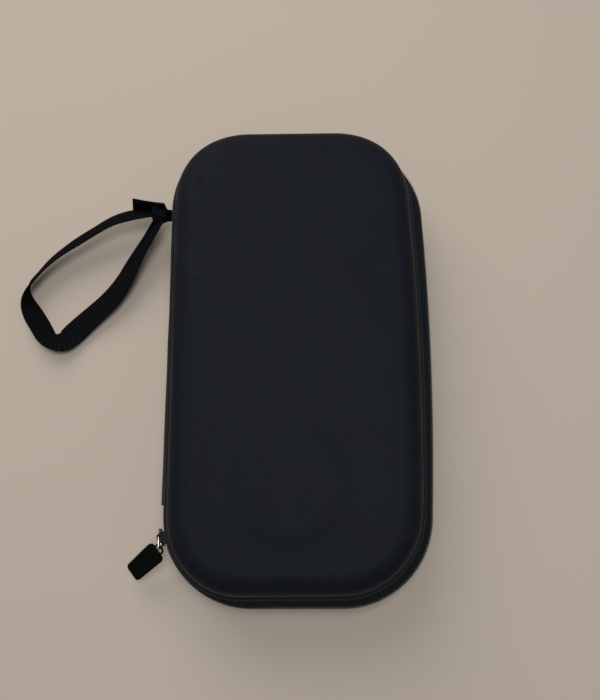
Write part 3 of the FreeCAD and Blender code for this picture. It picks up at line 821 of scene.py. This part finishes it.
def binding_section():
    """Tape folded over the raw rim, from the outer cloth round to the lining."""
    return [(WALL_OUT, 0.0), (WALL_OUT + 0.1, -0.5), (WALL_OUT + 0.6, -BINDING),
            (WALL_IN, -BINDING), (BINDING_IN - 0.4, -0.7), (BINDING_IN - 0.05, -0.3),
            (BINDING_IN, 0.3), (BINDING_IN, RIM_STRAIGHT - 0.3), (BINDING_IN - 0.3, RIM_STRAIGHT),
            (WALL_IN, RIM_STRAIGHT), (WALL_IN, 0.0)]


def zip_tape_section():
    """Zip tape from the coil, in at its bend to the rim, and on between wall and piping."""
    outer, inner = PIPING - BOW + TAPE / 2, PIPING + TAPE / 2
    gap = LID_RIM - MID
    path = [(outer, 1.2 - gap), (outer, 2.8 - gap), (outer, TAPE_BEND - gap - 0.3),
            (outer + 0.35, TAPE_BEND - gap + 0.15), (inner - 0.35, -0.15), (inner, 0.4),
            (inner, 3.0), (inner, RIM_STRAIGHT)]
    half_thick = (TAPE - FIT_GAP) / 2
    out, back = [], []
    for k, (i, h) in enumerate(path):
        before, after = path[max(k - 1, 0)], path[min(k + 1, len(path) - 1)]
        di, dh = after[0] - before[0], after[1] - before[1]
        length = math.hypot(di, dh)
        ni, nh = -dh / length * half_thick, di / length * half_thick
        out.append((i + ni, h + nh))
        back.append((i - ni, h - nh))
    return out + back[::-1]


def make_half(half, tape_start):
    depth = DEPTHS[half]
    bowl_skin(half, WALL_OUT, depth, "_fabric", shell_fabric, "_cover", COVER)
    foam_half(half)
    bowl_skin(half, FOAM_IN + 0.02, depth - COVER - FOAM - 0.02, "_knit", lining_knit,
              "_lining", LINING)
    rim_sweep(half, "_edge_piping", piping_section(), binding_tape, "_piping")
    rim_sweep(half, "_binding", binding_section(), binding_tape, "_rim_binding")
    rim_sweep(half, "_tape", zip_tape_section(), zip_weave, "_zip_tape",
              ts=stations_between(tape_start, ZIP_END))


make_half("base", HINGE_TAPE_END)
make_half("lid", LID_ZIP_START)


# ---- the coil zip ----

COIL_PITCH = 1.5
COIL_STAND = 0.12       # a loop's centre outside the tapes' line
COIL_HALF_DEEP = 0.56
COIL_MIDDLE = 1.12      # a loop's centre above or below the middle plane
COIL_HALF_HIGH = 1.22
COIL_LEAN = 0.26
COIL_SHORT = 0.4        # the last loop's centre, short of the zip's end
WIRE_RADIUS = 0.27
HEAD_SWELL = 0.09       # the wire is flattened wider where it meshes


def coil(half, side, start, around=14, wire_cols=6):
    """Flattened loops of nylon wire, one for each tooth, that reach over the middle."""
    first = 0.5 if side > 0 else 1.0
    loop_out = CHAIN_R + COIL_STAND
    parts = []
    for k in range(int((ZIP_END - start) / COIL_PITCH)):
        t = start + (k + first) * COIL_PITCH
        if t > ZIP_END - COIL_SHORT:
            break
        x, y, nx, ny = rim_at(t)
        stand = side_bow(x + nx * loop_out, y + ny * loop_out)
        rows = []
        for phi in circle(around):
            out = loop_out + COIL_HALF_DEEP * blunted(math.cos(phi), 0.8)
            up = COIL_MIDDLE + COIL_HALF_HIGH * math.sin(phi)
            head = smooth_step((-math.sin(phi) - 0.35) / 0.5)
            wire = WIRE_RADIUS + HEAD_SWELL * head
            ring = []
            for a in circle(wire_cols):
                radial = wire * math.cos(a)
                along = COIL_LEAN * math.cos(phi) + wire * (1 + 0.25 * head) * math.sin(a)
                o = out + radial * math.cos(phi)
                u = up + radial * math.sin(phi)
                ring.append((x + nx * o - ny * along + stand, y + ny * o + nx * along,
                             MID + side * u))
            rows.append(ring)
        uv = [[(j, i) for j in range(wire_cols + 1)] for i in range(around + 1)]
        parts.append(grid(rows, uv, wrap_rows=True, wrap_cols=True, flip=side > 0))
    add_form(half + "_coil", joined(parts), coil_plastic, half, [half + "_zip_coil"])


coil("base", -1, PARKED)
coil("lid", 1, LID_ZIP_START)


# ---- the fabric hinge ----

STRIP = 0.9             # thickness of the slack strip over the hinge
STRIP_LOW, STRIP_HIGH = span("hinge_cover")
STRIP_WALL = -HALF_WIDE - 0.05
STRIP_BULGE = STRIP_WALL - STRIP_LOW[0] - STRIP
STRIP_HALF_HIGH = (STRIP_HIGH[2] - STRIP_LOW[2]) / 2


def strip_x(s, sag=1.0):
    """The strip's inner face at s, from -1 at its lower edge to 1 at its upper edge."""
    return STRIP_WALL - STRIP_BULGE * (1 - s * s) * sag


def hinge_web(levels=24):
    """The woven web that joins the halves, flat against both walls."""
    low, high = BASE_RIM - RIM_STRAIGHT, LID_RIM + RIM_STRAIGHT
    heights = [low + (high - low) * k / levels for k in range(levels + 1)]
    section = [(PIPING + FIT_GAP, z) for z in heights]
    section += [(WALL_OUT - FIT_GAP, z) for z in heights[::-1]]
    rows, uv = [], []
    for t in stations_between(ZIP_END, RIM_LENGTH + HINGE_TAPE_END):
        x, y, nx, ny = rim_at(t)
        rows.append([(x + nx * (CORNER - i), y + ny * (CORNER - i), z) for i, z in section])
        uv.append([(t, z) for _, z in section + section[:1]])
    web = add_form("hinge_web", tube(rows, uv), zip_weave, None, ["hinge_tape"])
    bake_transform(web)


def hinge_strip(steps=46, cols=24):
    """The slack strip of the case's own cloth over the web."""
    y0, y1 = STRIP_LOW[1], STRIP_HIGH[1]
    across = [-1 + 2 * j / cols for j in range(cols + 1)]
    around = [*range(cols + 1), *range(2 * cols, cols - 1, -1), 2 * cols + 1]
    rows, uv = [], []
    for i in range(steps + 1):
        y = y0 + (y1 - y0) * i / steps
        sag = 1 + 0.05 * noise.noise(Vector((y * 0.045, 0.3, 0.0)))
        row = [(strip_x(s, sag) - STRIP, y, MID + s * STRIP_HALF_HIGH) for s in across]
        row += [(strip_x(s, sag), y, MID + s * STRIP_HALF_HIGH) for s in across[::-1]]
        rows.append(row)
        uv.append([(y, a * 1.1) for a in around])
    form = tube(rows, uv)
    strip = add_form("hinge_strip", form, hinge_fabric, None, ["hinge_cover"])
    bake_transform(strip)


hinge_web()
hinge_strip()


# ---- lock stitches along the pipings and the hinge strip ----

STITCH_PITCH = 3.0
STITCH_LINE = RIM_STRAIGHT - 2.7  # the piping's seam, past the rim
STITCH_EDGE = 0.8       # the strip's seam, as a share of its half height
# along the stitch, into the cloth, and the thread's radius there
STITCH_RINGS = [(-1.15, 0.3, 0.1), (-0.95, 0.08, 0.17), (-0.5, -0.06, 0.2), (0.0, -0.1, 0.2),
                (0.5, -0.06, 0.2), (0.95, 0.08, 0.17), (1.15, 0.3, 0.1)]


def stitch(place, cols=6):
    """One stitch; place turns (along, inset, height) into a point."""
    rows = []
    for along, sink, r in STITCH_RINGS:
        rows.append([place(along, sink + r * math.cos(a), r * math.sin(a)) for a in circle(cols)])
    uv = [[(i, j) for j in range(cols + 1)] for i in range(len(rows))]
    return tube(rows, uv)


def seams(half, side):
    y0, y1 = STRIP_LOW[1], STRIP_HIGH[1]
    edge_x = strip_x(STITCH_EDGE) - STRIP
    edge_z = MID + side * STITCH_EDGE * STRIP_HALF_HIGH
    parts = []
    for k in range(int(RIM_LENGTH / STITCH_PITCH)):
        t = (k + 0.5) * STITCH_PITCH
        x, y = rim_at(t)[:2]
        covered = x < 0 and y0 - STITCH_PITCH / 2 < y < y1 + STITCH_PITCH / 2
        if not covered:
            parts.append(stitch(lambda a, i, h: wall_point(half, t + a, i, STITCH_LINE + h)))
    for k in range(1, int((y1 - y0) / STITCH_PITCH)):
        y = y0 + k * STITCH_PITCH
        parts.append(stitch(lambda a, i, h: (edge_x + i, y + a, edge_z + side * h)))
    add_form(half + "_stitches", joined(parts), thread, half)


seams("base", -1)
seams("lid", 1)


# ---- inside the case ----

NET_PITCH = 2.6
NET_STRAND = (0.55, 0.5)  # width and thickness
NET_ANGLE = 52.0
NET_MIDDLE_Y = -56.0
NET_LINES = 60          # strands tried on each side of its middle


def inside_rim(x, y, inset):
    past_x, past_y = max(abs(x) - CORNER_X, 0.0), max(abs(y) - CORNER_Y, 0.0)
    return math.hypot(past_x, past_y) <= CORNER - inset


def strand_between(a, b, z):
    """A square bar from a to b, closed at both ends."""
    along = Vector((b[0] - a[0], b[1] - a[1], 0)).normalized()
    wide, thick = NET_STRAND
    side = Vector((-along.y, along.x, 0)) * wide / 2
    verts = []
    for x, y in (a, b):
        for sn, sz in ((-1, -1), (1, -1), (1, 1), (-1, 1)):
            verts.append((x + side.x * sn, y + side.y * sn, z + sz * thick / 2))
    faces = [[k, (k + 1) % 4, 4 + (k + 1) % 4, 4 + k] for k in range(4)]
    faces += [[3, 2, 1, 0], [4, 5, 6, 7]]
    return verts, faces, [(0.0, 0.0)] * 24


def net_chord(point, direction, y_edge, half_reach=160.0, step=0.5, shortest=2.0):
    """The two ends of the stretch of a line that lies inside the net's outline."""
    inset = BINDING_IN + 0.3
    places = []
    for k in range(int(2 * half_reach / step) + 1):
        s = k * step - half_reach
        x, y = point[0] + direction[0] * s, point[1] + direction[1] * s
        if inside_rim(x, y, inset) and y <= y_edge:
            places.append((x, y))
    return (places[0], places[-1]) if (len(places) - 1) * step > shortest else None


def net():
    """Knitted net: crossing strands, each a thin closed bar."""
    low, high = span("mesh_pocket")
    parts = []
    for angle, dz in ((NET_ANGLE, 0.06), (-NET_ANGLE, -0.06)):
        a = math.radians(angle)
        along = (math.cos(a), math.sin(a))
        for k in range(-NET_LINES, NET_LINES + 1):
            point = (-along[1] * k * NET_PITCH, NET_MIDDLE_Y + along[0] * k * NET_PITCH)
            ends = net_chord(point, along, high[1])
            if ends:
                parts.append(strand_between(*ends, (low[2] + high[2]) / 2 + dz))
    net_obj = add_form("pocket_net", joined(parts), net_thread, "lid", ["mesh_pocket"],
                       smooth=False)
    return net_obj, high[0] - low[0], high[1] - low[1]


def plate_form(low, high, rib, relief, cols=24):
    """A flat elastic with ribs across it, closed all round."""
    (x0, y0, z0), (x1, y1, z1) = low, high
    steps = int((x1 - x0) / (rib / 4))
    rows, uv = [], []
    for i in range(steps + 1):
        x = x0 + (x1 - x0) * i / steps
        thick = (z1 - z0) / 2 + relief * math.cos(2 * math.pi * (x - x0) / rib)
        row, row_uv = [], []
        for phi in circle(cols):
            y = (y0 + y1) / 2 + blunted(math.cos(phi), 0.4) * (y1 - y0) / 2
            z = (z0 + z1) / 2 + blunted(math.sin(phi), 0.35) * thick
            row.append((x, y, z))
            row_uv.append((x, y if math.sin(phi) >= 0 else 2 * y1 - y))
        rows.append(row)
        uv.append(row_uv + [(x, y1)])
    return tube(rows, uv)


def insides():
    net_obj, width, length = net()
    low, high = span("mesh_pocket_hem")
    x_reach = min(-low[0], high[0])
    form = plate_form((-x_reach, *low[1:]), (x_reach, *high[1:]), 1.6, 0.08)
    hem = add_form("pocket_hem", form, elastic_weave, "lid", ["mesh_pocket_hem"])
    for side in ("left", "right"):
        low, high = span(side + "_band")
        form = plate_form((*low[:2], low[2] + 0.1), (*high[:2], high[2] - 0.1), 1.5, 0.1)
        add_form(side + "_strap_band", form, elastic_weave, "base", [side + "_band"])


insides()


# ---- CAD nodes that keep their shape ----

KEPT_NODES = {"pull_link": nickel, "strap_anchor": strap_weave, "hook_patch": pad_material,
              "loop_patch": pad_material}
for node, material in KEPT_NODES.items():
    kept = frame["nodes"][node].data.materials
    kept.clear()
    kept.append(material)


# ---- the slider ----

OUTER_PLATE = (1.45, 2.45)  # distances out from the chain's line
INNER_PLATE = (-3.8, -2.8)
FLANGES = (-0.35, 1.6)
# (u, h): along the chain and above it; the plate's other half mirrors this one
PLATE_EDGE = [(-5.0, 1.6), (-4.8, 2.6), (-4.2, 3.4), (-3.2, 3.85), (-1.6, 3.95), (0.4, 3.8),
              (2.2, 3.55), (3.8, 3.25), (4.6, 2.75), (5.0, 1.7)]
FLANGE_EDGE = [(-3.0, 3.0), (3.9, 3.0), (3.9, 3.3), (-3.0, 3.9)]
SLIDER_EDGE = 0.28      # rounding of its edges
BRIDGE_HALF_LONG = 2.15
BRIDGE_RISE = 2.2
BRIDGE_FOOT = 2.2
BRIDGE_SECTION = (1.35, 0.6)


def parked(u, n, h):
    """A point along, out from and above the chain at the slider's place."""
    x, y = -CHAIN_R - n, -u
    c, s = math.cos(PARK_ANGLE), math.sin(PARK_ANGLE)
    return x * c - y * s - CORNER_X, x * s + y * c - CORNER_Y, MID + h


def prism(outline, n0, n1):
    """A flat plate with an outline of (u, h) points."""
    count = len(outline)
    verts = [parked(u, n, h) for n in (n0, n1) for u, h in outline]
    faces = [[k, (k + 1) % count, count + (k + 1) % count, count + k] for k in range(count)]
    faces += [list(range(count))[::-1], list(range(count, 2 * count))]
    return verts, faces, [(0.0, 0.0)] * (6 * count)


def slider_body():
    plate = PLATE_EDGE + [(u, -h) for u, h in PLATE_EDGE[::-1]]
    parts = [prism(plate, *OUTER_PLATE), prism(plate, *INNER_PLATE)]
    for side in (-1, 1):
        parts.append(prism([(u, side * h) for u, h in FLANGE_EDGE], *FLANGES))
    body = add_form("slider_body", joined(parts), enamel, "slider",
                    ["zip_slider"], smooth=False)
    soft = body.modifiers.new("edges", "BEVEL")
    soft.width = SLIDER_EDGE * MM
    soft.segments = 3
    soft.limit_method = "ANGLE"
    soft.angle_limit = math.radians(30)


def slider_crown(steps=24, cols=20):
    """The bridge that holds the link: an arched bar that widens into both its feet."""
    path = []
    for k in range(steps + 1):
        a = math.pi * k / steps
        rise = BRIDGE_FOOT + BRIDGE_RISE * math.sin(a) ** 0.8
        path.append(Vector(parked(-BRIDGE_HALF_LONG * blunted(math.cos(a), 0.75), rise, 0)))
    across = Vector((0, 0, 1))
    wide, thick = BRIDGE_SECTION
    rows = []
    for k, point in enumerate(path):
        before, after = path[max(k - 1, 0)], path[min(k + 1, steps)]
        face = (after - before).normalized().cross(across).normalized()
        flare = 1 + 0.45 * abs(2 * k / steps - 1) ** 3
        rows.append([point + across * blunted(math.cos(phi), 0.75) * wide * flare
                     + face * blunted(math.sin(phi), 0.75) * thick for phi in circle(cols)])
    uv = [[(i * 0.3, j * 0.3) for j in range(cols + 1)] for i in range(len(rows))]
    add_form("slider_crown", tube(rows, uv), enamel, "slider")


slider_body()
slider_crown()


# ---- the rubber tab ----

TAB_HEADING = math.radians(217.5)
TAB_DROOP = math.radians(36.0)
TAB_NECK = 2.9          # from the link's bar to the tab's root
TAB_LONG = 25.0
TAB_HALF_WIDE = 5.6
TAB_CORNER = 2.2
TAB_ROOT_BULGE = 0.9
TAB_TAPER = (1.09, 0.96)  # share of that width at the root and at the tip
EYE_OFFSET = 0.5
EYE_RADII = (2.3, 2.6)
EYE_WIRE = (0.55, 0.6)
# inset from the outline and height: a rounded edge round a sunk panel on each face
TAB_PROFILE = [(0.0, 0.0), (0.02, 0.75), (0.2, 1.12), (0.6, 1.3), (1.8, 1.3), (2.05, 1.28),
               (2.4, 1.0), (4.2, 1.0)]


def tab_ring(inset, height, corner_steps=8):
    """The tab's outline at an inset, as (along, across, height) from the link's bar."""
    r = max(TAB_CORNER - inset, 0.35)
    a0, a1 = TAB_NECK + inset + r, TAB_NECK + TAB_LONG - inset - r
    b1 = TAB_HALF_WIDE - inset - r
    ring = []
    for ca, cb, start in ((a1, b1, 0), (a0, b1, 90), (a0, -b1, 180), (a1, -b1, 270)):
        for k in range(corner_steps + 1):
            phi = math.radians(start + 90 * k / corner_steps)
            a, b = ca + r * math.cos(phi), cb + r * math.sin(phi)
            if a < TAB_LONG / 2:
                a -= TAB_ROOT_BULGE * (1 - (b / TAB_HALF_WIDE) ** 2)
            ring.append((a, b * between(TAB_TAPER, (a - TAB_NECK) / TAB_LONG), height))
    return ring


def make_tab(eye_steps=36, eye_cols=14):
    level = Vector((math.cos(TAB_HEADING), math.sin(TAB_HEADING), 0))
    along = level * math.cos(TAB_DROOP) - Vector((0, 0, math.sin(TAB_DROOP)))
    wide = Vector((-level.y, level.x, 0))
    up = along.cross(wide)
    bar = Vector(joint_place("tab_swing"))
    below = [(inset, -height) for inset, height in TAB_PROFILE[:0:-1]]
    rows = [[bar + along * a + wide * b + up * c for a, b, c in tab_ring(*spot)]
            for spot in below + TAB_PROFILE]
    uv = [[(i, j) for j in range(len(rows[0]) + 1)] for i in range(len(rows))]
    body = tube(rows, uv)
    eye_rows = []
    for a in circle(eye_steps):
        centre = bar + along * (EYE_OFFSET + EYE_RADII[0] * math.cos(a))
        centre += wide * EYE_RADII[1] * math.sin(a)
        out = (along * math.cos(a) + wide * math.sin(a)).normalized()
        eye_rows.append([centre + out * EYE_WIRE[0] * math.cos(b) + up * EYE_WIRE[1] * math.sin(b)
                         for b in circle(eye_cols)])
    uv = [[(i, j) for j in range(eye_cols + 1)] for i in range(eye_steps + 1)]
    eye_ring = grid(eye_rows, uv, wrap_rows=True, wrap_cols=True)
    add_form("rubber_tab", joined([body, eye_ring]), tab_rubber, "pull", ["pull_tab"])


make_tab()


# ---- stage: floor, lamps and world ----

FLOOR_HALF = 3.0        # metres, as are the lamps' places and sizes
FLOOR_DROP = 0.0002
FLOOR_COLOUR = (0.36, 0.305, 0.255)
SKY_COLOUR = (0.92, 0.95, 1.0, 1.0)
SKY_STRENGTH = 0.27


def make_floor():
    mesh = bpy.data.meshes.new("floor")
    corners = [(x * FLOOR_HALF, y * FLOOR_HALF, 0) for x, y in ((-1, -1), (1, -1), (1, 1), (-1, 1))]
    mesh.from_pydata(corners, [], [(0, 1, 2, 3)])
    floor = bpy.data.objects.new("floor", mesh)
    bpy.context.scene.collection.objects.link(floor)
    floor.location.z = -FLOOR_DROP
    mesh.materials.append(Material("floor", FLOOR_COLOUR, 0.9, Specular_IOR_Level=0.1).material)


def lamp(name, place, aim, size, power, colour):
    data = bpy.data.lights.new(name, "AREA")
    data.shape = "SQUARE"
    data.size = size
    data.energy = power
    data.color = colour
    obj = bpy.data.objects.new(name, data)
    bpy.context.scene.collection.objects.link(obj)
    obj.location = place
    obj.rotation_mode = "QUATERNION"
    obj.rotation_quaternion = (Vector(aim) - Vector(place)).to_track_quat("-Z", "Y")


def make_world():
    world = bpy.data.worlds.new("world")
    bpy.context.scene.world = world
    world.use_nodes = True
    background = world.node_tree.nodes["Background"]
    background.inputs["Color"].default_value = SKY_COLOUR
    background.inputs["Strength"].default_value = SKY_STRENGTH
    bpy.context.scene.view_settings.view_transform = "Standard"


make_floor()
lamp("key", (-0.45, 0.95, 0.95), (0, 0, 0.02), 1.1, 15.0, (1.0, 0.985, 0.96))
lamp("fill", (0.05, -0.02, 1.2), (0.0, -0.05, 0.02), 0.4, 9.5, (0.98, 0.99, 1.0))
make_world()
